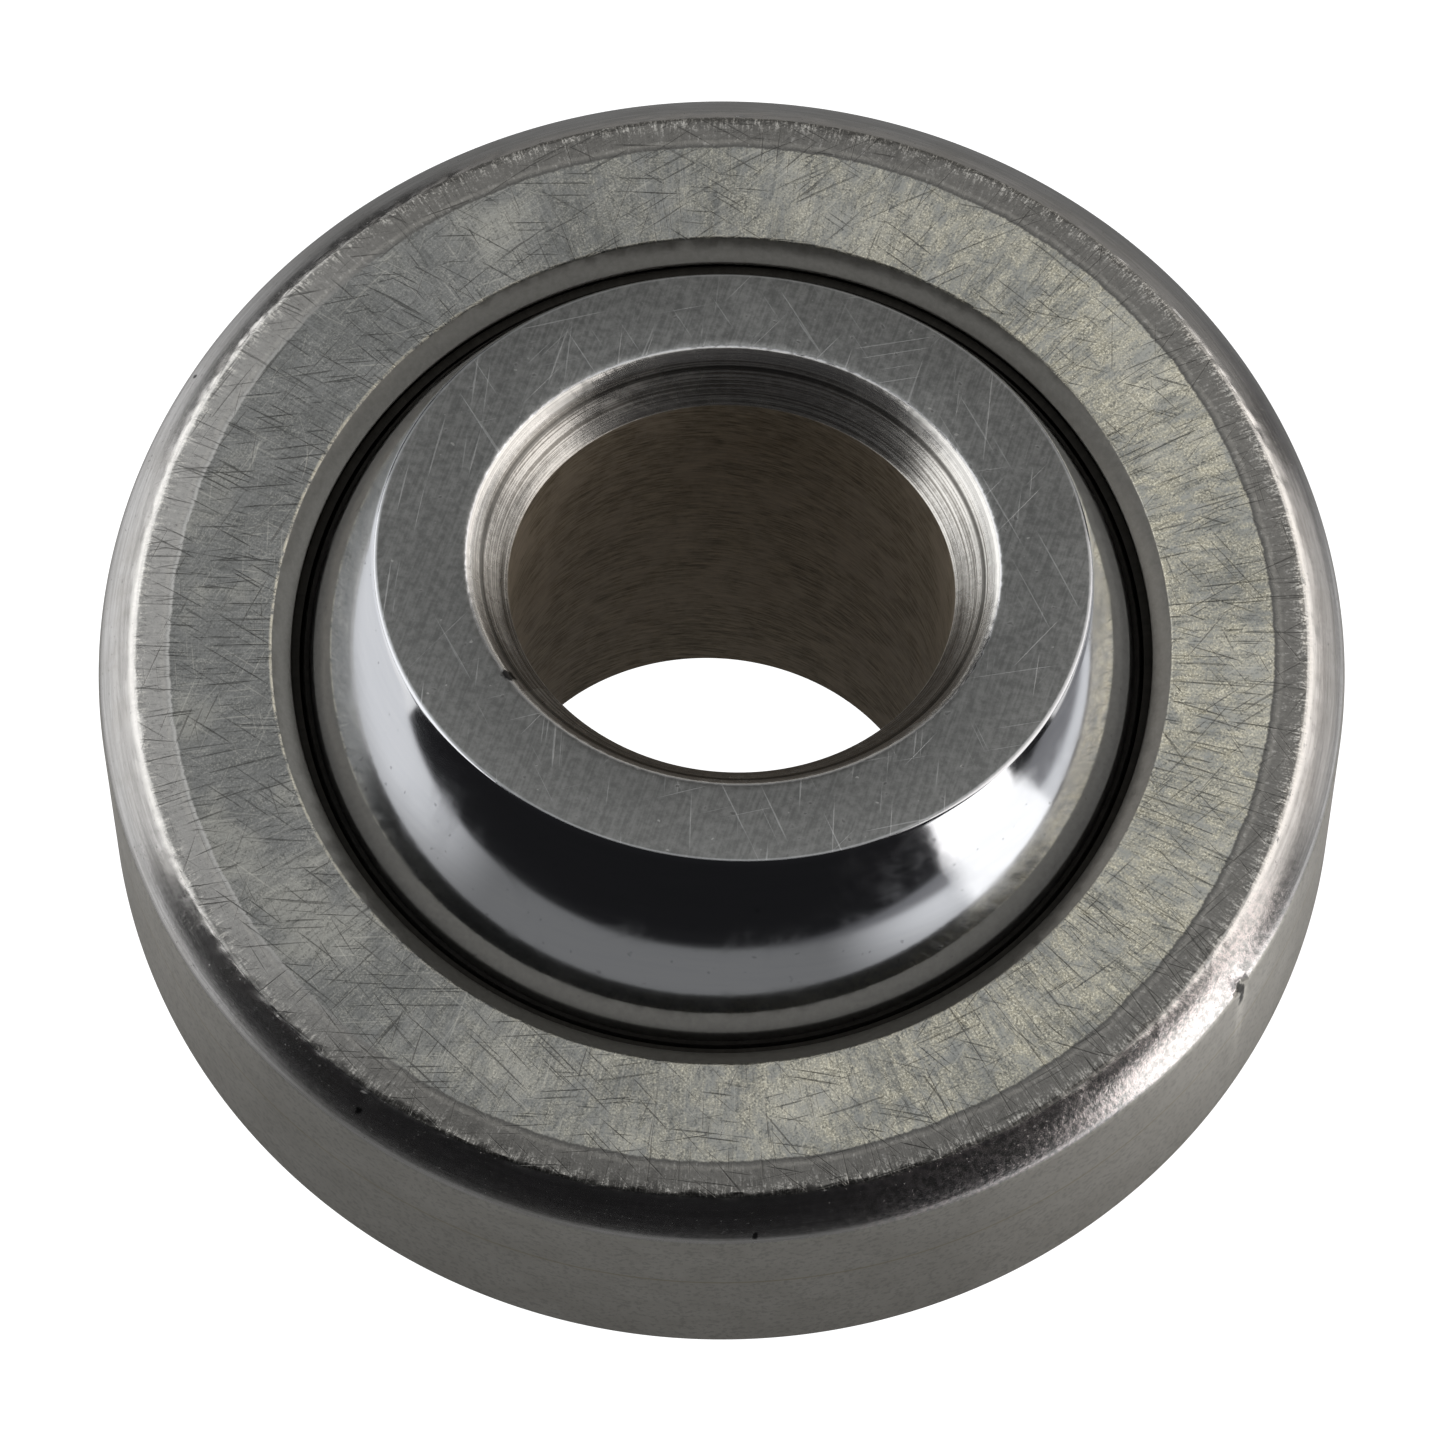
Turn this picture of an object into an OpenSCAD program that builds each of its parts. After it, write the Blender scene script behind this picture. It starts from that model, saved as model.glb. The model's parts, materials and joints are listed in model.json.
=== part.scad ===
// Spherical plain bearing insert of a rod end: a ball with flat ends and a
// through bore, held in a closed outer race, with a thin liner between them.
//
// Origin: centre of the ball. +Z runs along the bore. At rest the race leans
// towards -Y, as it does when the bearing lies on the lower face of its ball.

/* [Ball] */
// Diameter of the ball's sphere
ball_d = 10; // [9.6:0.1:10.4]
// Width of the ball over its two flat faces
ball_w = 6; // [5.4:0.1:6.6]
// Diameter of the bore
bore_d = 5; // [4:0.1:5.4]
// Radial width of the lead-in chamfer at each end of the bore
lead_in_w = 0.48; // [0.2:0.02:0.6]
// Depth of the lead-in chamfer along the bore
lead_in_h = 0.48; // [0.2:0.02:0.6]

/* [Outer race] */
// Outer diameter of the race
race_d = 14; // [13.4:0.1:15]
// Width of the race over its two flat faces
race_w = 4; // [3.6:0.1:4.4]
// Radial width of the chamfer at each rim
rim_w = 0.42; // [0.2:0.02:0.6]
// Depth of the rim chamfer along the race
rim_h = 0.4; // [0.2:0.02:0.6]
// Radial width of the land between the rim chamfer and the flat face
land_w = 0.4; // [0.2:0.02:0.5]
// Drop of the land from the flat face to its outer edge
land_drop = 0.04; // [0.02:0.01:0.1]
// Radial width of the bevel at each mouth of the seat
mouth_w = 0.22; // [0.1:0.02:0.3]
// Depth of the mouth bevel along the race
mouth_h = 0.22; // [0.1:0.02:0.3]

/* [Liner] */
// Thickness of the liner
liner_t = 0.1; // [0.06:0.01:0.12]
// Radial clearance on each side of the liner
clearance = 0.02; // [0.01:0.01:0.05]
// Distance from the mouth bevel down to the liner's edge
liner_recess = 0.1; // [0.05:0.05:0.3]

/* [Rest pose] */
// Angle between the race and the ball at rest
rest_tilt = 11.5; // [0:0.5:13]

/* [Hidden] */
$fn = 128;

ball_r = ball_d / 2;
ball_face_z = ball_w / 2;
bore_r = bore_d / 2;

liner_in_r = ball_r + clearance;
liner_out_r = liner_in_r + liner_t;
seat_r = liner_out_r + clearance;

race_r = race_d / 2;
race_face_z = race_w / 2;
ridge_r = race_r - rim_w;
ridge_z = race_face_z - land_drop;
rim_z = ridge_z - rim_h;
land_in_r = ridge_r - land_w;

mouth_z = race_face_z - mouth_h;
mouth_r = sqrt(pow(seat_r, 2) - pow(mouth_z, 2));
liner_z = mouth_z - liner_recess;

// How far a cutter reaches past the face that it cuts
overrun = 0.2;

// Puts a piece that belongs to the race at the race's lean
module leaned() {
    rotate([rest_tilt, 0, 0]) children();
}

// Both ends of a piece from the upper one
module both_ends() {
    children();
    mirror([0, 0, 1]) children();
}

// Cone that opens from radius r at height z, w wider over a height h,
// and carries on at the same slope past its upper end
module flare(r, z, w, h) {
    reach = (h + overrun) / h;
    translate([0, 0, z])
        cylinder(h = h * reach, r1 = r, r2 = r + w * reach);
}

module race_blank() {
    rotate_extrude()
        polygon([
            [0, -race_face_z],
            [land_in_r, -race_face_z],
            [ridge_r, -ridge_z],
            [race_r, -rim_z],
            [race_r, rim_z],
            [ridge_r, ridge_z],
            [land_in_r, race_face_z],
            [0, race_face_z]
        ]);
}

module outer_race() {
    color("darkgray")
        leaned()
            difference() {
                race_blank();
                sphere(r = seat_r);
                both_ends() flare(mouth_r, mouth_z, mouth_w, mouth_h);
            }
}

module liner() {
    color("dimgray")
        leaned()
            difference() {
                intersection() {
                    sphere(r = liner_out_r);
                    cylinder(h = 2 * liner_z, r = race_r, center = true);
                }
                sphere(r = liner_in_r);
            }
}

module ball() {
    color("silver")
        difference() {
            intersection() {
                sphere(r = ball_r);
                cylinder(h = ball_w, r = race_r, center = true);
            }
            cylinder(h = ball_w + 2 * overrun, r = bore_r, center = true);
            both_ends() flare(bore_r, ball_face_z - lead_in_h, lead_in_w, lead_in_h);
        }
}

outer_race();
liner();
ball();
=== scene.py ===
import json
from math import asin, atan2, cos, hypot, pi, radians, sin, sqrt

import bmesh
import bpy
from mathutils import Matrix, Vector


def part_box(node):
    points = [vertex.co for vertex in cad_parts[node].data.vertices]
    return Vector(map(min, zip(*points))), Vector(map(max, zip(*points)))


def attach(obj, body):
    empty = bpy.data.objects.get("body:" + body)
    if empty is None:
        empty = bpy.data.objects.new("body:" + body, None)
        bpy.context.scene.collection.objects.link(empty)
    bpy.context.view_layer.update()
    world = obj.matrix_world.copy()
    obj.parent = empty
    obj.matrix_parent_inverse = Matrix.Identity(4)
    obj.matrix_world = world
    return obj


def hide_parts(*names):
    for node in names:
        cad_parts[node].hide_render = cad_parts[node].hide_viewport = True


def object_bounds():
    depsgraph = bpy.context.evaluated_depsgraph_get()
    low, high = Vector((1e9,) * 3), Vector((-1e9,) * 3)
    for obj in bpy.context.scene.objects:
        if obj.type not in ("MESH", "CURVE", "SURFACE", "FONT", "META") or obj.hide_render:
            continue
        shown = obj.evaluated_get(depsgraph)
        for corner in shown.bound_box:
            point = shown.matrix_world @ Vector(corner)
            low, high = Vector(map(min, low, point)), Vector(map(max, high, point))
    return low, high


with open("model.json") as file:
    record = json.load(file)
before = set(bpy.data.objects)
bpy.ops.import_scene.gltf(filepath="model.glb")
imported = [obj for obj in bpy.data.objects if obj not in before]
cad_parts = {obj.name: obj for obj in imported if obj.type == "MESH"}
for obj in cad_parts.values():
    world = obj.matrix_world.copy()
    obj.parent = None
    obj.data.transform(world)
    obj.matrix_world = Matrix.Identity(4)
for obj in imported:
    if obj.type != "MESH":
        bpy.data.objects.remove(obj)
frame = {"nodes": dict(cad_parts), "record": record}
cad_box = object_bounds()

# ---- Outer race -----------------------------------------------------------
# The outer ring is one closed ring of bearing steel, pressed round the ball. Its faces are
# ground, a narrow turned land and a chamfer run round each rim, and the seat inside is a
# zone of a sphere with a small bevel at each mouth. The whole ring leans about X at rest.

mm = 0.001
mounts = {m["name"]: m for m in frame["record"]["mounts"]}
race_axis = Vector(mounts["race_seat"]["axis"])
lean = atan2(-race_axis.y, race_axis.z)
race_r = mounts["race_seat"]["dims"]["r_mm"] * mm
rim_z = mounts["race_seat"]["dims"]["length_mm"] * mm / 2
race_points = [v.co for v in frame["nodes"]["outer_race"].data.vertices]
race_face_z = max(p.dot(race_axis) for p in race_points)
seat_r = min(p.length for p in race_points)

rim_w = 0.42 * mm
land_w = 0.4 * mm
land_drop = 0.04 * mm
bevel_w = 0.22 * mm
ridge_z = race_face_z - land_drop
ridge_r = race_r - rim_w
land_in_r = ridge_r - land_w
mouth_z = race_face_z - bevel_w
mouth_r = sqrt(seat_r**2 - mouth_z**2)
mouth_out_r = mouth_r + bevel_w


def arc(radius, start, end, count):
    """Points on a circle round the origin of the (r, z) plane, from one angle to the other."""
    angles = [start + (end - start) * i / count for i in range(count + 1)]
    return [(radius * cos(a), radius * sin(a)) for a in angles]


def turned(name, outline, steps):
    """Turns a closed outline of (r, z) points about Z into a ring, and stays in edit mode."""
    bpy.ops.object.select_all(action="DESELECT")
    bpy.ops.mesh.primitive_plane_add(size=mm)
    piece = bpy.context.object
    piece.name = name
    piece.data.name = name
    bpy.ops.object.mode_set(mode="EDIT")
    bpy.ops.mesh.select_mode(type="VERT")
    bpy.ops.mesh.select_all(action="SELECT")
    bpy.ops.mesh.merge(type="CENTER")
    at = Vector((outline[0][0], 0, outline[0][1]))
    bpy.ops.transform.translate(value=at)
    for r, z in outline[1:] + outline[:1]:
        step = Vector((r, 0, z)) - at
        bpy.ops.mesh.extrude_region_move(TRANSFORM_OT_translate={"value": step})
        at = at + step
    bpy.ops.mesh.select_all(action="SELECT")
    bpy.ops.mesh.remove_doubles(threshold=0.0005 * mm)
    bpy.ops.mesh.select_all(action="SELECT")
    bpy.ops.mesh.spin(steps=steps, angle=2 * pi, center=(0, 0, 0), axis=(0, 0, 1))
    bpy.ops.mesh.select_all(action="SELECT")
    bpy.ops.mesh.remove_doubles(threshold=0.0005 * mm)
    bpy.ops.mesh.normals_make_consistent(inside=False)
    return piece


def round_ring(piece, r, z, width, segments):
    """Rounds the edge that runs round the piece at radius r and height z."""
    shape = bmesh.from_edit_mesh(piece.data)
    near = 0.002 * mm
    bpy.ops.mesh.select_all(action="DESELECT")
    bpy.ops.mesh.select_mode(type="EDGE")
    for edge in shape.edges:
        ends = [(hypot(v.co.x, v.co.y), v.co.z) for v in edge.verts]
        edge.select_set(all(abs(a - r) < near and abs(b - z) < near for a, b in ends))
    bmesh.update_edit_mesh(piece.data)
    bpy.ops.mesh.bevel(offset=width, offset_type="OFFSET", segments=segments, affect="EDGES")


def finished(piece, tilt=0.0, smooth_below=32):
    """Leans the piece about X, puts its place into its mesh and smooths its gentle edges."""
    bpy.ops.mesh.select_all(action="SELECT")
    bpy.ops.mesh.normals_make_consistent(inside=False)
    bpy.ops.object.mode_set(mode="OBJECT")
    piece.rotation_euler = (tilt, 0, 0)
    bpy.ops.object.transform_apply(location=True, rotation=True, scale=True)
    bpy.ops.object.shade_smooth_by_angle(angle=radians(smooth_below))
    flat_first = piece.modifiers.new("weighted_normals", "WEIGHTED_NORMAL")
    flat_first.keep_sharp = True
    bpy.ops.object.modifier_apply(modifier=flat_first.name)


def bulged(start, end, rise, count):
    """Points from start to end along a shallow arc that stands out by rise half way."""
    chord = Vector((end[0] - start[0], end[1] - start[1]))
    out = Vector((-chord.y, chord.x)).normalized() * rise
    points = []
    for i in range(count + 1):
        t = i / count
        lift = 4 * t * (1 - t)
        points.append((start[0] + chord.x * t + out.x * lift, start[1] + chord.y * t + out.y * lift))
    return points


def dent(piece, turn, r, z, reach, push_out, push_up):
    """Moves the metal round one place on a rim, outward and upward by the given lengths."""
    shape = bmesh.from_edit_mesh(piece.data)
    bpy.ops.mesh.select_all(action="DESELECT")
    bpy.ops.mesh.select_mode(type="VERT")
    toward = Vector((cos(radians(turn)), sin(radians(turn)), 0))
    spot = toward * r + Vector((0, 0, z))
    for vertex in shape.verts:
        vertex.select_set((vertex.co - spot).length < reach)
    bmesh.update_edit_mesh(piece.data)
    bpy.ops.transform.translate(value=toward * push_out + Vector((0, 0, push_up)))


def roughen(piece, r, z, reach, amount, seed):
    """Makes a rim slightly uneven: every point near it moves a little, at random."""
    shape = bmesh.from_edit_mesh(piece.data)
    bpy.ops.mesh.select_all(action="DESELECT")
    bpy.ops.mesh.select_mode(type="VERT")
    for vertex in shape.verts:
        near = hypot(hypot(vertex.co.x, vertex.co.y) - r, vertex.co.z - z)
        vertex.select_set(near < reach)
    bmesh.update_edit_mesh(piece.data)
    bpy.ops.transform.vertex_random(offset=amount, uniform=0.3, normal=0.7, seed=seed)


# A ring of points a little below the rim and one a little inside the ridge keep the dents short.
below_rim = 0.13 * mm
inside_ridge = 0.11 * mm
chamfer_rise = 0.026 * mm
seat_half = atan2(mouth_z, mouth_r)
upper_chamfer = bulged((race_r, rim_z), (ridge_r, ridge_z), -chamfer_rise, 6)
upper_rim = [(race_r, rim_z - below_rim)] + upper_chamfer
upper_rim += [(ridge_r - inside_ridge, ridge_z + land_drop * inside_ridge / land_w)]
race_outline = [(land_in_r, race_face_z)] + upper_rim[::-1]
race_outline += [(r, -z) for r, z in upper_rim] + [(land_in_r, -race_face_z)]
race_outline += [(mouth_out_r, -race_face_z)] + arc(seat_r, -seat_half, seat_half, 24)
race_outline += [(mouth_out_r, race_face_z)]
race = turned("race_ring", race_outline, steps=600)
for side in (1, -1):
    round_ring(race, race_r, side * rim_z, width=0.06 * mm, segments=4)
    round_ring(race, ridge_r, side * ridge_z, width=0.05 * mm, segments=4)
    round_ring(race, land_in_r, side * race_face_z, width=0.04 * mm, segments=2)
    round_ring(race, mouth_out_r, side * race_face_z, width=0.025 * mm, segments=3)
    round_ring(race, mouth_r, side * mouth_z, width=0.02 * mm, segments=2)
roughen(race, ridge_r, ridge_z, reach=0.06 * mm, amount=0.007 * mm, seed=3)
roughen(race, mouth_out_r, race_face_z, reach=0.03 * mm, amount=0.0025 * mm, seed=5)
on_slope = ridge_r + 0.1 * mm, ridge_z - 0.08 * mm
dent(race, 247, *on_slope, reach=0.07 * mm, push_out=-0.02 * mm, push_up=-0.02 * mm)
dent(race, 284.5, ridge_r, ridge_z, reach=0.04 * mm, push_out=-0.015 * mm, push_up=-0.015 * mm)
dent(race, 338.5, race_r, rim_z, reach=0.10 * mm, push_out=-0.05 * mm, push_up=-0.01 * mm)
finished(race, tilt=lean)
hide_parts("outer_race")
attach(race, "outer_race")


class Wire:
    """An output socket of a material. Arithmetic on it adds Math or Vector Math nodes."""

    def __init__(self, finish, socket):
        self.finish = finish
        self.socket = socket

    def math(self, operation, *values):
        """One Math node, or one Vector Math node if this socket is a vector."""
        inputs = dict(enumerate(values))
        if self.socket.type == "VECTOR":
            inputs = {i: Wire.spread(v) for i, v in inputs.items()}
            return self.finish.node("VectorMath", {"operation": operation}, inputs)
        return self.finish.node("Math", {"operation": operation}, inputs)

    @staticmethod
    def spread(value):
        return (value,) * 3 if isinstance(value, (int, float)) else value

    def __add__(self, other):
        return self.math("ADD", self, other)

    def __radd__(self, other):
        return self.math("ADD", other, self)

    def __sub__(self, other):
        return self.math("SUBTRACT", self, other)

    def __rsub__(self, other):
        return self.math("SUBTRACT", other, self)

    def __mul__(self, other):
        return self.math("MULTIPLY", self, other)

    def __rmul__(self, other):
        return self.math("MULTIPLY", other, self)

    def __truediv__(self, other):
        return self.math("DIVIDE", self, other)


class Finish:
    """A metal or plastic finish: one shader, and the nodes that paint it."""

    def __init__(self, name, **shader_numbers):
        self.material = bpy.data.materials.new(name)
        self.material.use_nodes = True
        self.tree = self.material.node_tree
        self.shader = self.tree.nodes["Principled BSDF"]
        for socket, value in shader_numbers.items():
            self.shader.inputs[socket.replace("_", " ")].default_value = value

    def node(self, kind, settings=None, inputs=None, out=0):
        """Adds one node: its type, its settings, and a value or a wire for each input."""
        made = self.tree.nodes.new("ShaderNode" + kind)
        for name, value in (settings or {}).items():
            setattr(made, name, value)
        for name, value in (inputs or {}).items():
            if isinstance(value, Wire):
                self.tree.links.new(value.socket, made.inputs[name])
            elif isinstance(value, tuple) and len(value) == 3 and made.inputs[name].type == "RGBA":
                made.inputs[name].default_value = (*value, 1)
            else:
                made.inputs[name].default_value = value
        return Wire(self, made.outputs[out])

    def feed(self, **links):
        """Wires values into the shader's sockets."""
        for socket, wire in links.items():
            self.tree.links.new(wire.socket, self.shader.inputs[socket.replace("_", " ")])

    def place(self, turn=0.0):
        """Position on the piece in millimetres, turned back about X."""
        seen = self.node("TexCoord", out="Object")
        settings = {"vector_type": "POINT"}
        inputs = {"Vector": seen, "Rotation": (turn, 0, 0), "Scale": (1 / mm,) * 3}
        return self.node("Mapping", settings, inputs)

    def parts(self, vector):
        """The x, y and z of a vector."""
        return [self.node("SeparateXYZ", inputs={0: vector}, out=i) for i in range(3)]

    def join(self, x, y, z):
        """A vector from its x, y and z."""
        return self.node("CombineXYZ", inputs={0: x, 1: y, 2: z})

    def noise(self, vector, scale=1.0, detail=2.0, rough=0.5, warp=0.0):
        """Soft random values from 0 to 1, most of them near one half."""
        inputs = {"Vector": vector, "Scale": scale, "Detail": detail, "Roughness": rough}
        inputs["Distortion"] = warp
        return self.node("TexNoise", {"normalize": True}, inputs)

    def step(self, value, low, high):
        """Eases from 0 to 1 as value goes from low to high. Low may be the larger of the two."""
        inputs = {0: value, 1: low, 2: high, 3: 0.0, 4: 1.0}
        return self.node("MapRange", {"interpolation_type": "SMOOTHSTEP"}, inputs)

    def mix(self, share, first, second):
        """The first colour where share is 0, and the second where it is 1."""
        settings = {"data_type": "RGBA", "blend_type": "MIX"}
        return self.node("Mix", settings, {0: share, 6: first, 7: second}, out=2)

    def size(self, value):
        """A number without its sign."""
        return self.node("Math", {"operation": "ABSOLUTE"}, {0: value})

    def root(self, value):
        """The square root of a number."""
        return self.node("Math", {"operation": "SQRT"}, {0: value})

    def bump(self, height, depth):
        """A surface that stands out by depth where height is 1."""
        return self.node("Bump", inputs={"Height": height, "Distance": depth, "Strength": 1.0})


steel = Finish("race_steel", Metallic=1.0)
place = steel.place(-lean)
x, y, z = steel.parts(place)
height = steel.size(z)
r = steel.root(x * x + y * y)
cos_a, sin_a = x / r, y / r


def polar(finish, cos_a, sin_a, r, radius, width, length):
    """Coordinates whose cells are width wide round the axis and length long across it."""
    return finish.join(cos_a * (radius / width), sin_a * (radius / width), r / length)


def streaks(finish, x, y, angle, width, length, seed, bend=0.0):
    """Straight or bent streaks in the XY plane, along the given direction."""
    along = x * cos(angle) + y * sin(angle)
    across = y * cos(angle) - x * sin(angle) + along * along * bend
    return finish.noise(finish.join(along / length, across / width, seed), detail=1.0)


def spot(finish, x, y, turn, r, size, ragged):
    """A small ragged spot on the top, at a given turn and radius."""
    dx = x - r * cos(radians(turn))
    dy = y - r * sin(radians(turn))
    away = finish.root(dx * dx + dy * dy)
    return finish.step(away + (ragged - 0.5) * size * 1.5, size, size * 0.55)


# All lengths in the paint are in millimetres. Four radii that its grains are laid out on:
mid_mouth = 5.0
mid_face = 5.6
in_land = 6.4
mid_land = 6.6

# Zones, with slightly ragged borders between the land and the face.
ragged = steel.noise(polar(steel, cos_a, sin_a, height, mid_land, 0.05, 0.3), detail=3.0, rough=0.7)
wander = steel.noise(polar(steel, cos_a, sin_a, height, mid_land, 0.45, 1.0), detail=3.0)
edge_r = r + (ragged - 0.5) * 0.05 + (wander - 0.5) * 0.06
land_at = land_in_r / mm
ridge_at = ridge_r / mm
bevel_at = mouth_out_r / mm
past_ridge = steel.step(r, ridge_at - 0.005, ridge_at + 0.02)
past_face = steel.step(edge_r, land_at - 0.012, land_at + 0.012)
on_land = past_face * (1 - past_ridge)
above_rim = steel.step(height, rim_z / mm - 0.03, rim_z / mm + 0.03)
on_chamfer = past_ridge * above_rim
on_side = past_ridge * (1 - above_rim)
on_bevel = 1 - steel.step(r, bevel_at - 0.014, bevel_at - 0.002)
on_face = (1 - past_face) * (1 - on_bevel)

# How far round to the right or to the left a place lies, from 0 to 1.
sideways = cos_a * cos(radians(5)) + sin_a * sin(radians(5))
rightward = steel.step(sideways, -0.9, 1.0)
leftward = steel.step(sideways, -0.35, -1.0)

# Ground lay: fine grains, with short ones across the ring and others at angles to them.
fine = steel.noise(place, 40.0, detail=2.0, rough=0.7)
mottle = steel.noise(place, 15.0, detail=3.0, rough=0.65)
grain = steel.noise(polar(steel, cos_a, sin_a, r, mid_face, 0.028, 0.20), detail=2.0, rough=0.6)
lay = fine * 0.35 + mottle * 0.2 + grain * 0.25
lay = lay + streaks(steel, x, y, radians(58), width=0.03, length=0.30, seed=5.1) * 0.2

# Handling scratches: thin, most of them across the ring, others straight or bent, some
# dark and some bright.
across = steel.noise(polar(steel, cos_a, sin_a, r, mid_face, 0.030, 0.80), detail=1.0)
scratch = steel.step(across, 0.65, 0.75)
long_mark = steel.noise(polar(steel, cos_a, sin_a, r, mid_face, 0.020, 1.6), detail=1.0, warp=0.15)
scratch = scratch + steel.step(long_mark, 0.68, 0.76) * (0.3 + 0.7 * rightward)
bright_scratch = steel.step(across, 0.33, 0.22)
straight_marks = [(7, 0.02), (38, -0.05), (62, 0.04), (118, 0.06), (151, -0.02)]
for number, (turn, bend) in enumerate(straight_marks):
    field = streaks(steel, x, y, radians(turn), width=0.030, length=1.0, seed=11.0 + 3.7 * number, bend=bend)
    scratch = steel.step(field, 0.66, 0.77) + scratch
    bright_scratch = steel.step(field, 0.33, 0.22) + bright_scratch
faint = steel.noise(place, 1.6, detail=2.0)
scratch = steel.node("Math", {"operation": "MINIMUM"}, {0: scratch * (0.25 + faint), 1: 1.0})
swirl = 0.0
bent_marks = [(20, 0.5), (80, -0.7), (140, 0.6)]
for number, (turn, bend) in enumerate(bent_marks):
    field = streaks(steel, x, y, radians(turn), width=0.03, length=0.9, seed=71.0 + 2.3 * number, bend=bend)
    swirl = steel.step(field, 0.69, 0.78) + swirl
bright_scratch = (bright_scratch + swirl) * (0.2 + faint) * 0.5

# The faces are painted lighter to the right and darker to the left, with painted highlights to the right: a
# straw tint in patches, and bright grains and flakes in it.
face_shaded_left = (0.245, 0.25, 0.245)
face_lit_right = (0.40, 0.41, 0.39)
straw_highlight_tint = (0.66, 0.60, 0.42)
grime = (0.12, 0.125, 0.12)
pale_haze = (0.80, 0.78, 0.68)
low_grain = (0.10, 0.105, 0.10)
high_grain = (0.55, 0.56, 0.53)
grain_glint = (1.0, 0.98, 0.84)
flake_glint = (0.96, 0.92, 0.74)
bare_mark = (0.72, 0.71, 0.64)
clump = steel.noise(place, 2.4, detail=5.0, rough=0.7, warp=0.7)
sheen = steel.noise(polar(steel, cos_a, sin_a, r, mid_face, 0.12, 0.34), detail=3.0, rough=0.6, warp=0.6)
sheen = sheen * 0.4 + clump * 0.6
# Painted highlight: a straw tint in patches to the right.
straw_sheen = rightward * steel.step(sheen * 0.7 + fine * 0.3, 0.40, 0.62)
sparkle = steel.step(fine, 0.51, 0.63) * steel.step(sheen, 0.40, 0.64)
smear = steel.noise(polar(steel, cos_a, sin_a, r, mid_face, 0.10, 0.55), detail=2.0, rough=0.6)
# Painted light: the steel is lighter to the right and darker to the left.
face_colour = steel.mix(rightward, face_shaded_left, face_lit_right)
face_colour = steel.mix(straw_sheen * 0.75, face_colour, straw_highlight_tint)
haze = steel.noise(place, 0.8, detail=3.0, rough=0.6, warp=0.3)
face_colour = steel.mix(steel.step(haze, 0.50, 0.34) * 0.30, face_colour, grime)
face_colour = steel.mix(steel.step(haze, 0.50, 0.66) * 0.22, face_colour, pale_haze)
face_colour = steel.mix(steel.step(smear, 0.46, 0.34) * 0.35, face_colour, grime)
face_colour = steel.mix(steel.step(lay, 0.51, 0.37) * 0.65, face_colour, low_grain)
face_colour = steel.mix(steel.step(lay, 0.50, 0.66) * 0.35, face_colour, high_grain)
# Painted highlights: bright grains, mostly to the right.
face_colour = steel.mix(sparkle * (0.15 + 0.70 * rightward), face_colour, grain_glint)
# Painted highlights: pale yellow flakes to the right.
flake_highlight = steel.noise(polar(steel, cos_a, sin_a, r, mid_face, 0.05, 0.13), detail=3.0, rough=0.65)
flake_highlight = steel.step(flake_highlight, 0.57, 0.67) * steel.step(sheen, 0.42, 0.58) * rightward
face_colour = steel.mix(flake_highlight * 0.6, face_colour, flake_glint)
face_colour = steel.mix(bright_scratch * 0.7, face_colour, bare_mark)

# A painted highlight runs, broken, along the edge between the face and the bevel.
broken = steel.noise(polar(steel, cos_a, sin_a, height, mid_mouth, 0.16, 1.0), detail=2.0)
lip = steel.step(r, bevel_at + 0.035, bevel_at + 0.012) * on_face
lip = lip * steel.step(broken * 0.6 + fine * 0.4, 0.40, 0.56)

# The land is coarser, painted lighter to the left and darker to the right, with painted glints near
# the ridge, and with a border, painted light to the left and dark to the right, and a faint light line where
# it meets the face.
land_shaded = (0.205, 0.20, 0.187)
land_lit_left = (0.45, 0.445, 0.43)
land_low = (0.10, 0.10, 0.095)
land_high = (0.66, 0.65, 0.62)
land_glint = (0.85, 0.83, 0.77)
line_light = (0.70, 0.68, 0.62)
border_lit_left = (0.66, 0.66, 0.64)
tick = steel.noise(polar(steel, cos_a, sin_a, r, in_land, 0.030, 0.16), detail=3.0, rough=0.7)
coarse = tick * 0.4 + mottle * 0.35 + fine * 0.25
land_side = cos_a * cos(radians(14)) + sin_a * sin(radians(14))
land_left = steel.step(land_side, -0.5, -1.0)
# Painted light: the land is lighter to the left and darker to the right.
land_colour = steel.mix(land_left, land_shaded, land_lit_left)
land_colour = steel.mix(steel.step(coarse, 0.50, 0.34) * 0.5, land_colour, land_low)
land_colour = steel.mix(steel.step(coarse, 0.52, 0.68) * 0.6, land_colour, land_high)
near_ridge = steel.step(r, ridge_at - 0.20, ridge_at - 0.02)
# Painted glints near the ridge.
glint = steel.step(tick * 0.6 + fine * 0.4, 0.50, 0.60) * near_ridge
land_colour = steel.mix(glint * 0.7, land_colour, land_glint)
light_line = steel.step(edge_r, land_at + 0.05, land_at + 0.07)
light_line = light_line * (1 - steel.step(edge_r, land_at + 0.09, land_at + 0.12))
land_colour = steel.mix(light_line * mottle * broken * 0.5, land_colour, line_light)
border = past_face * (1 - steel.step(edge_r, land_at + 0.02, land_at + 0.05))
# Painted light on the border: light to the left, dark to the right.
border_colour = steel.mix(land_left, land_low, border_lit_left)
land_colour = steel.mix(border * 0.6, land_colour, border_colour)

# The chamfer and the outside are turned: faint rings, soft clouds and small dark specks. One
# stretch of the chamfer to the front right carries a painted rosy white highlight, and a faint stain runs
# round the outside.
rings = steel.noise(polar(steel, cos_a, sin_a, height, race_r / mm, 0.9, 0.022), detail=3.0, rough=0.6)
speck = steel.step(steel.noise(place, 30.0, detail=1.0), 0.70, 0.78)
cloud = steel.noise(place, 1.6, detail=3.0, rough=0.6, warp=0.4)
chamfer_colour = steel.mix(steel.step(rings, 0.35, 0.65), (0.50, 0.49, 0.475), (0.62, 0.605, 0.59))
chamfer_colour = steel.mix(steel.step(cloud, 0.45, 0.65) * 0.3, chamfer_colour, (0.44, 0.42, 0.39))
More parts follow.
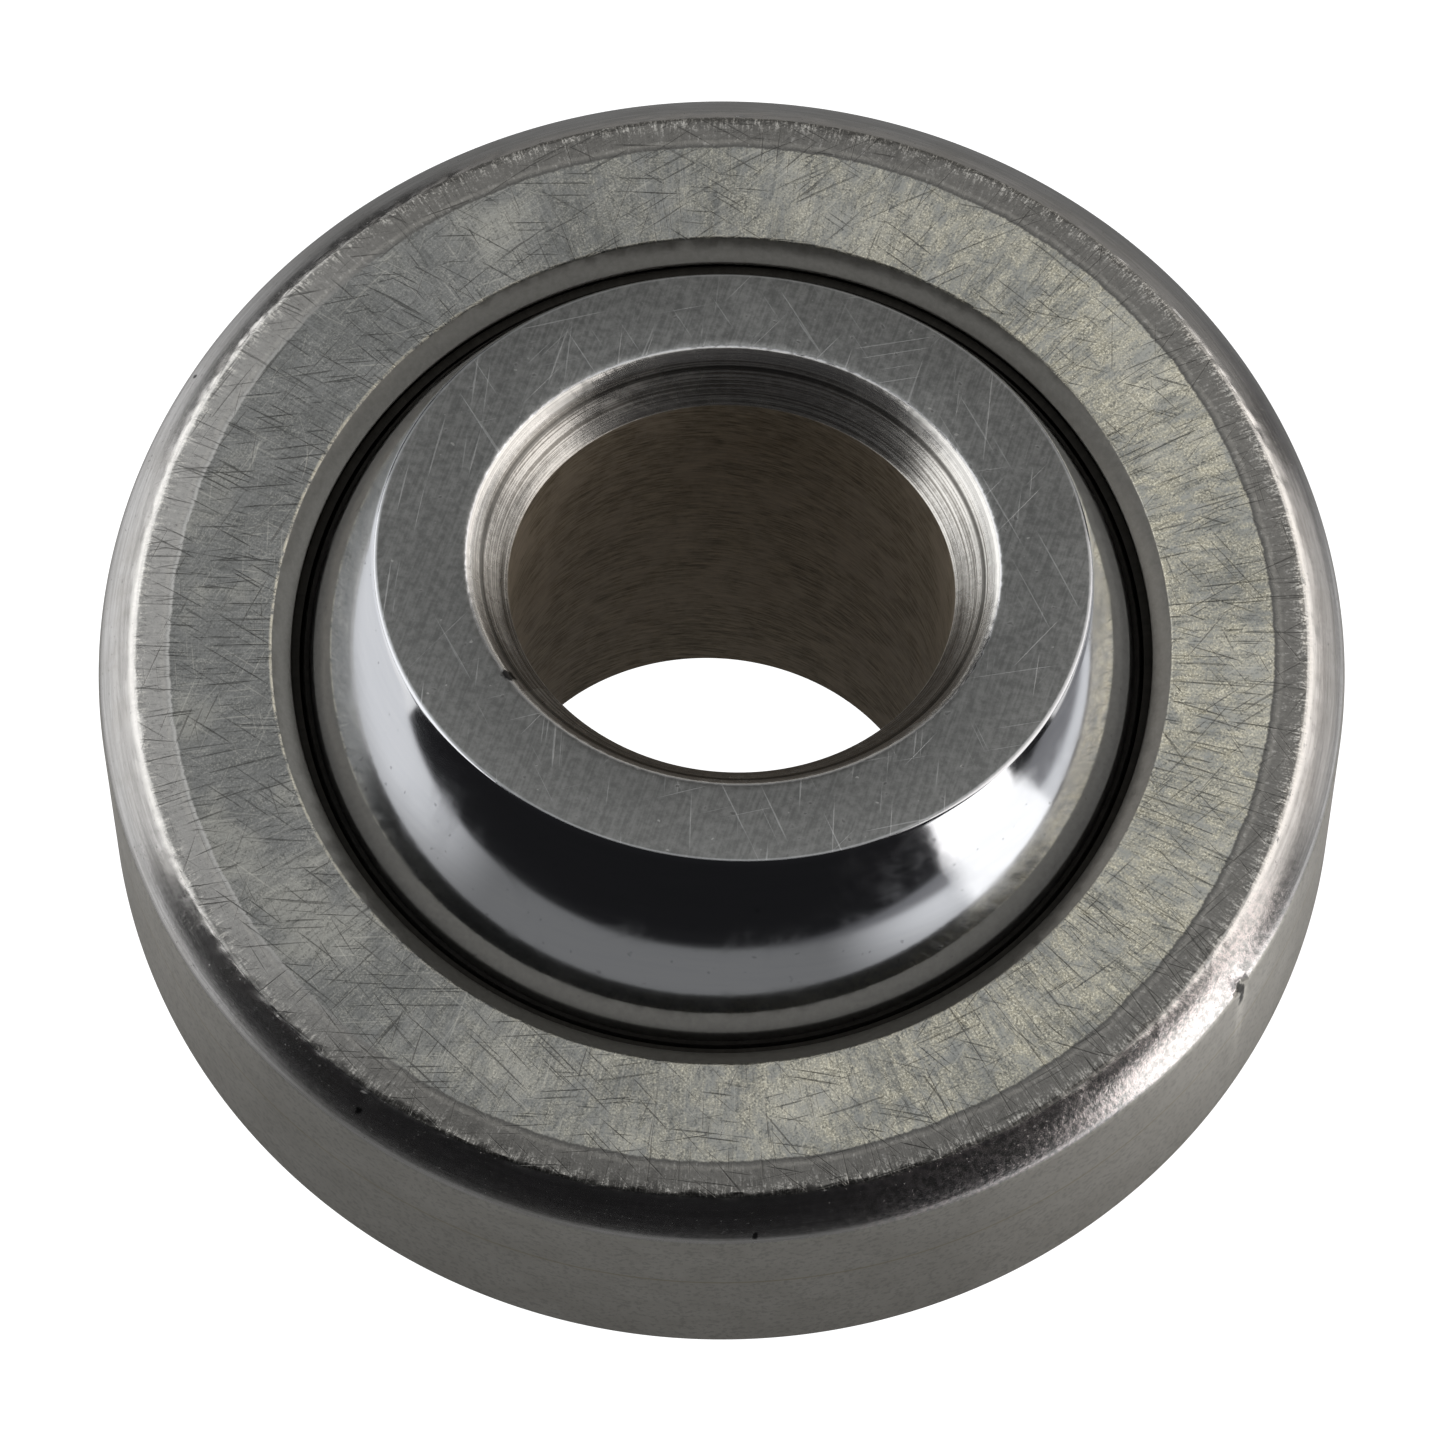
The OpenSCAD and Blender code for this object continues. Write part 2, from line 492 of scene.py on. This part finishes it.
# Painted highlight: a rosy white patch on the chamfer to the front right.
rosy_highlight = steel.step(cos_a * cos(radians(322)) + sin_a * sin(radians(322)), 0.86, 0.96)
chamfer_colour = steel.mix(rosy_highlight * steel.step(mottle, 0.36, 0.6), chamfer_colour, (0.90, 0.83, 0.81))
chamfer_colour = steel.mix(speck * 0.5, chamfer_colour, (0.15, 0.14, 0.13))
side_colour = steel.mix(steel.step(cloud, 0.3, 0.7), (0.59, 0.565, 0.515), (0.66, 0.635, 0.585))
side_colour = steel.mix(steel.step(mottle, 0.52, 0.36) * 0.4, side_colour, (0.30, 0.285, 0.26))
stain = steel.step(z, 0.33, 0.35) * (1 - steel.step(z, 0.36, 0.385))
side_colour = steel.mix(stain * 0.6, side_colour, (0.44, 0.37, 0.22))
bevel_colour = steel.mix(mottle, (0.185, 0.18, 0.16), (0.33, 0.32, 0.29))

# All zones together, and a painted highlight along the ridge, to the left and to the right.
colour = steel.mix(on_land, face_colour, land_colour)
colour = steel.mix(scratch * (on_land + on_face) * 0.7, colour, (0.07, 0.07, 0.065))
# Painted highlight along the lip of the mouth, stronger to the left.
colour = steel.mix(lip * (0.25 + 0.35 * leftward), colour, (0.80, 0.76, 0.62))
colour = steel.mix(on_bevel, colour, bevel_colour)
colour = steel.mix(on_chamfer, colour, chamfer_colour)
colour = steel.mix(on_side, colour, side_colour)
# Painted highlight along the ridge, to the left and to the right.
crest_highlight = steel.step(r, ridge_at - 0.035, ridge_at - 0.01)
crest_highlight = crest_highlight * (1 - steel.step(r, ridge_at + 0.03, ridge_at + 0.08))
crest_highlight = crest_highlight * steel.step(steel.size(sideways), 0.45, 0.98)
colour = steel.mix(crest_highlight * (0.25 + 0.5 * ragged), colour, (0.97, 0.95, 0.91))
gloss = 0.33 + 0.14 * (mottle - 0.5)
gloss = gloss + on_land * -0.03 + on_bevel * 0.02 + on_chamfer * -0.09 + on_side * 0.12
relief = on_face * (lay * 0.8 - scratch * 0.6) + on_land * (coarse * 1.2 - scratch * 0.5)
relief = relief + on_chamfer * (rings * 0.05 + mottle * (0.25 + 0.6 * rosy_highlight) - speck * 0.3)
relief = relief + on_side * cloud * 0.05 + on_bevel * mottle * 0.6

# The nicks are dark spots: each has its turn, its distance from the axis and its size.
nicks = [(247, 6.80, 0.045), (286, 6.93, 0.035), (338.5, 6.97, 0.07), (163, 6.9, 0.03)]
for turn, at_r, size in nicks:
    nick = spot(steel, x, y, turn, at_r, size, mottle) * steel.step(z, 1.0, 1.2)
    colour = steel.mix(nick * 0.9, colour, (0.03, 0.03, 0.03))
dull = 1.0 - 0.3 * on_bevel
steel.feed(Base_Color=colour, Roughness=gloss, Metallic=dull, Normal=steel.bump(relief, 0.004 * mm))
race.data.materials.append(steel.material)

# ---- Liner ----------------------------------------------------------------
# The liner is a thin sliding layer of woven PTFE composite, bonded in the race's seat. Only
# its dark edge shows, down in the gap round the ball.

liner_points = [v.co for v in frame["nodes"]["liner"].data.vertices]
liner_in_r = min(p.length for p in liner_points)
liner_out_r = max(p.length for p in liner_points)
liner_z = max(p.dot(race_axis) for p in liner_points)
in_half = asin(liner_z / liner_in_r)
out_half = asin(liner_z / liner_out_r)
liner_outline = arc(liner_out_r, -out_half, out_half, 24)
liner_outline += arc(liner_in_r, in_half, -in_half, 24)
liner = turned("liner_ring", liner_outline, steps=240)
for side in (1, -1):
    round_ring(liner, liner_out_r * cos(out_half), side * liner_z, width=0.02 * mm, segments=2)
    round_ring(liner, liner_in_r * cos(in_half), side * liner_z, width=0.02 * mm, segments=2)
finished(liner, tilt=lean)
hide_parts("liner")
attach(liner, "liner")
weave = Finish("liner_composite", Metallic=0.0, Specular_IOR_Level=0.1)
place = weave.place(-lean)
x, y, z = weave.parts(place)
r = weave.root(x * x + y * y)
thread_gap = 0.16
thread = weave.node("Math", {"operation": "SINE"}, {0: z * (2 * pi / thread_gap)})
fibre = weave.noise(polar(weave, x / r, y / r, z, 5.0, 0.08, 0.05), detail=3.0, rough=0.6)
fluff = thread * 0.25 + fibre
weave.feed(
    Base_Color=weave.mix(fibre, (0.014, 0.013, 0.011), (0.045, 0.042, 0.036)),
    Roughness=0.7 + 0.2 * fibre,
    Normal=weave.bump(fluff, 0.01 * mm),
)
liner.data.materials.append(weave.material)

# ---- Ball -----------------------------------------------------------------
# The ball is hardened steel, its sphere lapped to a mirror, its two faces ground flat, and
# its bore honed, with a turned lead-in at each end.

ball_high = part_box("ball")[1]
ball_r = ball_high.x
ball_face_z = ball_high.z
bore_r = mounts["bore"]["dims"]["r_mm"] * mm
bore_z = mounts["bore"]["dims"]["length_mm"] * mm / 2
lead_in_w = 0.48 * mm
lead_r = bore_r + lead_in_w
# The turning tool left shallow steps in the lead-in. Each pair of millimetres goes in, then down.
lead_steps = [(0.0, 0.0), (0.09, 0.075), (0.15, 0.15), (0.20, 0.185), (0.27, 0.275)]
lead_steps += [(0.33, 0.32), (0.39, 0.395), (0.48, 0.48)]
lead_in = [(lead_r - step_in * mm, ball_face_z - down * mm) for step_in, down in lead_steps]
face_edge = asin(ball_face_z / ball_r)
ball_outline = arc(ball_r, -face_edge, face_edge, 64)
# Two rings of points on the face keep the uneven lip narrow.
near_lip = [(lead_r + 0.25 * mm, ball_face_z), (lead_r + 0.1 * mm, ball_face_z)]
ball_end = near_lip + lead_in
ball_outline += ball_end + [(r, -z) for r, z in reversed(ball_end)]
ball = turned("ball_ring", ball_outline, steps=480)
for side in (1, -1):
    round_ring(ball, ball_r * cos(face_edge), side * ball_face_z, width=0.035 * mm, segments=4)
    round_ring(ball, lead_r, side * ball_face_z, width=0.05 * mm, segments=4)
roughen(ball, lead_r, ball_face_z, reach=0.06 * mm, amount=0.002 * mm, seed=8)
finished(ball)
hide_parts("ball")
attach(ball, "ball")
mirror = Finish("ball_steel", Metallic=1.0)
place = mirror.place()
x, y, z = mirror.parts(place)
height = mirror.size(z)
r = mirror.root(x * x + y * y)
cos_a, sin_a = x / r, y / r
face_r = ball_r * cos(face_edge) / mm
on_face = mirror.step(height, ball_face_z / mm - 0.012, ball_face_z / mm - 0.004)
in_lead = 1 - mirror.step(r, lead_r / mm - 0.02, lead_r / mm + 0.01)
in_bore = 1 - mirror.step(r, bore_r / mm + 0.008, bore_r / mm + 0.02)
in_bore = in_bore * (1 - mirror.step(height, bore_z / mm - 0.01, bore_z / mm + 0.01))
on_face = on_face * (1 - in_lead)

# The faces are ground in one direction, with a few stray scratches and pits.
ground = streaks(mirror, x, y, radians(86), width=0.030, length=0.6, seed=2.3) * 0.3
ground = ground + mirror.noise(place, 9.0, detail=4.0, rough=0.7) * 0.7
stray = 0.0
stray_marks = [(28, 0.01), (64, 0.0), (93, 0.02), (97, 0.0), (128, -0.01)]
for number, (turn, bend) in enumerate(stray_marks):
    field = streaks(mirror, x, y, radians(turn), width=0.035, length=1.8, seed=31.0 + 2.9 * number, bend=bend)
    stray = mirror.step(field, 0.71, 0.78) + stray
pits = mirror.step(mirror.noise(place, 9.0, detail=1.0), 0.72, 0.78)
bright_pits = mirror.step(mirror.noise(place, 11.0, detail=1.0), 0.26, 0.20)

# The bore is honed and browned, with marks that run round it and a soft tarnish.
hone_at = polar(mirror, cos_a, sin_a, z + cos_a * 0.35, bore_r / mm, 0.28, 0.03)
hone = mirror.noise(hone_at, detail=4.0, rough=0.75)
brown = mirror.noise(place, 1.5, detail=4.0, rough=0.65, warp=0.6)
hone_low = (0.15, 0.125, 0.088)
hone_high = (0.48, 0.405, 0.305)
tarnish = (0.46, 0.39, 0.31)
bore_colour = mirror.mix(mirror.step(hone, 0.3, 0.7), hone_low, hone_high)
bore_colour = mirror.mix(mirror.step(brown, 0.42, 0.66) * 0.55, bore_colour, tarnish)

# The lapped sphere carries faint pits and wiping marks.
wipe = mirror.noise(polar(mirror, cos_a, sin_a, z, 5.0, 1.2, 0.06), detail=3.0, rough=0.6)
pit_dark = (0.25, 0.25, 0.26)
sphere_colour = mirror.mix(wipe, (0.60, 0.61, 0.635), (0.68, 0.685, 0.70))
sphere_colour = mirror.mix(pits * 0.4, sphere_colour, pit_dark)

# The faces carry painted shade: they are a little darker towards the front.
ground_low = (0.205, 0.21, 0.206)
ground_high = (0.34, 0.345, 0.338)
front_shade = (0.12, 0.12, 0.115)
stray_light = (0.55, 0.56, 0.56)
face_colour = mirror.mix(mirror.step(ground, 0.35, 0.65), ground_low, ground_high)
# Painted shade: darker towards the front.
face_colour = mirror.mix(mirror.step(y, 3.0, -4.0) * 0.3, face_colour, front_shade)
face_colour = mirror.mix(stray * 0.5, face_colour, stray_light)
face_colour = mirror.mix(bright_pits * 0.5, face_colour, (0.7, 0.7, 0.68))
face_colour = mirror.mix(pits * 0.5, face_colour, (0.10, 0.10, 0.10))

# The lead-ins are turned, with fine marks, a dark groove and a painted highlight on the lip above it.
lead_low = (0.30, 0.285, 0.26)
lead_high = (0.80, 0.78, 0.74)
groove_dark = (0.10, 0.095, 0.085)
lip_highlight_white = (0.97, 0.96, 0.93)
lead_speck = mirror.noise(place, 12.0, detail=3.0, rough=0.7)
turning = mirror.noise(polar(mirror, cos_a, sin_a, height + r, 2.7, 3.0, 0.026), detail=1.0)
lead_mark = mirror.step(lead_speck * 0.25 + turning * 0.75, 0.38, 0.62)
lead_colour = mirror.mix(lead_mark, lead_low, lead_high)
groove_at = lead_r / mm - 0.175
groove = mirror.step(r, groove_at - 0.035, groove_at - 0.015)
groove = groove * mirror.step(r, groove_at + 0.03, groove_at + 0.01)
lead_colour = mirror.mix(groove * 0.8, lead_colour, groove_dark)
# Painted highlight on the lip of the lead-in.
lead_lip_highlight = mirror.step(r, groove_at + 0.04, groove_at + 0.08)
lead_colour = mirror.mix(lead_lip_highlight * 0.5, lead_colour, lip_highlight_white)

# All zones together, with a painted highlight round the outer edge of each face.
rim = mirror.step(r, face_r - 0.04, face_r - 0.015)
rim = rim * mirror.step(height, ball_face_z / mm - 0.06, ball_face_z / mm - 0.03)
colour = mirror.mix(on_face, sphere_colour, face_colour)
colour = mirror.mix(rim * 0.3, colour, (0.90, 0.93, 0.97))
colour = mirror.mix(in_lead, colour, lead_colour)
colour = mirror.mix(in_bore, colour, bore_colour)

# Smudges dull the metal in places, and a nick at the lip of the bore is a dark spot.
smudge = mirror.step(mirror.noise(place, 0.9, detail=4.0, rough=0.65, warp=0.5), 0.50, 0.72)
chip_edge = pits * 0.2 + mirror.noise(place, 14.0) * 0.8
chip = spot(mirror, x, y, 225.3, 2.95, 0.085, chip_edge) * mirror.step(z, 2.0, 2.2)
colour = mirror.mix(chip * 0.95, colour, (0.02, 0.02, 0.02))
gloss = 0.065 + 0.05 * wipe + 0.10 * smudge + on_face * 0.25 + in_lead * 0.14 + in_bore * 0.30
relief = on_face * (ground * 0.6 + stray * 0.3 - pits * 0.5) + in_bore * hone * 0.8
relief = relief + in_lead * (lead_speck * 0.4 + turning * 0.3)
film = 0.55 * in_bore + 0.08 * in_lead * (1 - in_bore)
mirror.feed(Base_Color=colour, Roughness=gloss, Metallic=1 - film)
mirror.feed(Normal=mirror.bump(relief, 0.003 * mm))
ball.data.materials.append(mirror.material)

# ---- Floor ----------------------------------------------------------------
# A plain pale floor, low enough for the ball to clear it however it tilts, and a pale sheet
# under the bearing that only the metal sees; its glow is painted light that stands in for a lit floor.
# The sheet ends a little way in front, where the dark of the room starts in the reflections.

floor_z = -ball_r - 0.01 * mm
sheet_z = cad_box[0].z - 0.007 * mm


def plate(name, low, high, z):
    """A flat rectangle between two corners, at height z, that belongs to the stage."""
    bpy.ops.object.select_all(action="DESELECT")
    middle = ((low[0] + high[0]) / 2, (low[1] + high[1]) / 2, z)
    bpy.ops.mesh.primitive_plane_add(size=1, location=middle)
    made = bpy.context.object
    made.name = name
    made.scale = (high[0] - low[0], high[1] - low[1], 1)
    bpy.ops.object.transform_apply(location=True, scale=True)
    return made


floor = plate("floor", low=(-2, -2), high=(2, 2), z=floor_z)
floor.visible_glossy = False
floor.visible_diffuse = False
pale = Finish("pale_floor", Roughness=0.9, Specular_IOR_Level=0.0)
pale.shader.inputs["Base Color"].default_value = (0.8, 0.8, 0.8, 1)
pale.shader.inputs["Emission Color"].default_value = (1, 1, 1, 1)
pale.shader.inputs["Emission Strength"].default_value = 1.1
floor.data.materials.append(pale.material)

sheet = plate("reflected_sheet", low=(-0.3, -0.042), high=(0.3, 0.3), z=sheet_z)
sheet.visible_camera = False
lit = Finish("reflected_sheet", Roughness=0.9, Specular_IOR_Level=0.0)
lit.shader.inputs["Base Color"].default_value = (0.12, 0.12, 0.12, 1)
x, y, z = lit.parts(lit.place())
away = lit.root(x * x + y * y)
to_right, to_back = x / away, y / away
# The sheet's glow is painted light and shade: dim in front and behind, lighter to the sides, and
# brightest in a strip to the right, with a painted shadow under the bearing, and dark far out at the front
# right.
middle_grey = (0.15, 0.153, 0.155)
side_near = (0.25, 0.25, 0.25)
side_far = (0.85, 0.86, 0.88)
room_dark = (0.03, 0.03, 0.04)
strip_white = (1.5, 1.5, 1.5)
painted_shadow_grey = (0.12, 0.12, 0.12)
outward = lit.step(away, 7.0, 30.0)
side_light = lit.mix(outward, side_near, side_far)
to_side = lit.step(to_right, 0.55, 0.9) + lit.step(to_right, -0.59, -0.95)
shade = lit.mix(to_side, middle_grey, side_light)
near_right = 1 - 0.8 * lit.step(to_right, 0.3, 0.5) * lit.step(away, 36.0, 46.0)
strip = lit.step(to_right, 0.90, 0.93) * lit.step(to_back, 0.03, 0.0) * lit.step(away, 7.0, 17.0)
shade = lit.mix(near_right, room_dark, shade)
shade = lit.mix(strip, shade, strip_white)
# Painted shadow: the sheet's glow is dark under the bearing.
shade = lit.mix(lit.step(away, 5.0, 9.0), painted_shadow_grey, shade)
lit.shader.inputs["Emission Strength"].default_value = 1.0
lit.feed(Emission_Color=shade)
sheet.data.materials.append(lit.material)

# ---- Light ----------------------------------------------------------------
# Large soft boxes to the left and the right, low strips on both sides for the outside of the
# race, a dimmer box overhead and a weak one behind. Nothing in front, so the front stays dark.


def softbox(name, azimuth, elevation, distance, width, height, radiance, colour=(1, 1, 1)):
    """A rectangular lamp that faces the bearing. Azimuth 0 is in front and 90 to the right."""
    data = bpy.data.lights.new(name, "AREA")
    data.shape = "RECTANGLE"
    data.size = width
    data.size_y = height
    data.energy = radiance * pi * width * height
    data.color = colour
    lamp = bpy.data.objects.new(name, data)
    bpy.context.scene.collection.objects.link(lamp)
    a = radians(azimuth)
    e = radians(elevation)
    toward = Vector((sin(a) * cos(e), -cos(a) * cos(e), sin(e)))
    lamp.location = toward * distance
    lamp.rotation_mode = "QUATERNION"
    lamp.rotation_quaternion = toward.to_track_quat("Z", "Y")
    lamp.visible_camera = False
    return lamp


softbox("overhead", azimuth=180, elevation=78, distance=0.35, width=0.32, height=0.26, radiance=0.75)
softbox("left", azimuth=-100, elevation=35, distance=0.4, width=0.42, height=0.36, radiance=1.25)
softbox("left_low", azimuth=-98, elevation=0, distance=0.45, width=0.36, height=0.12, radiance=1.05)
softbox("right", azimuth=116, elevation=38, distance=0.4,
        width=0.46, height=0.36, radiance=1.25, colour=(1, 0.96, 0.93))
softbox("right_low", azimuth=77, elevation=5, distance=0.5,
        width=0.21, height=0.20, radiance=1.8, colour=(1, 0.98, 0.97))
softbox("right_back_low", azimuth=124, elevation=2, distance=0.5,
        width=0.34, height=0.12, radiance=0.85, colour=(1, 0.98, 0.96))
softbox("back", azimuth=180, elevation=24, distance=0.5,
        width=0.60, height=0.46, radiance=0.27, colour=(1, 0.98, 0.95))
world = bpy.data.worlds.new("studio")
world.use_nodes = True
world.node_tree.nodes["Background"].inputs["Color"].default_value = (0.012, 0.012, 0.013, 1)
bpy.context.scene.world = world
bpy.context.scene.view_settings.view_transform = "Standard"

# ---- Camera ---------------------------------------------------------------
# A long lens above the front of the bearing, turned a little to its right and rolled slightly.

camera_azimuth = radians(9.06)
camera_elevation = radians(55.68)
camera_distance = 114.29 * mm
camera_roll = radians(4.43)
camera_data = bpy.data.cameras.new("camera")
camera_data.lens = 251.22
camera_data.sensor_width = 36
camera_data.clip_start = 10 * mm
camera_data.clip_end = 10
camera = bpy.data.objects.new("camera", camera_data)
bpy.context.scene.collection.objects.link(camera)
back = Vector((
    sin(camera_azimuth) * cos(camera_elevation),
    -cos(camera_azimuth) * cos(camera_elevation),
    sin(camera_elevation),
))
aim = back.to_track_quat("Z", "Y").to_matrix() @ Matrix.Rotation(camera_roll, 3, "Z")
shift_right = -0.020 * mm
shift_up = -0.074 * mm
camera.location = back * camera_distance + aim @ Vector((shift_right, shift_up, 0))
camera.rotation_mode = "QUATERNION"
camera.rotation_quaternion = aim.to_quaternion()
bpy.context.scene.camera = camera
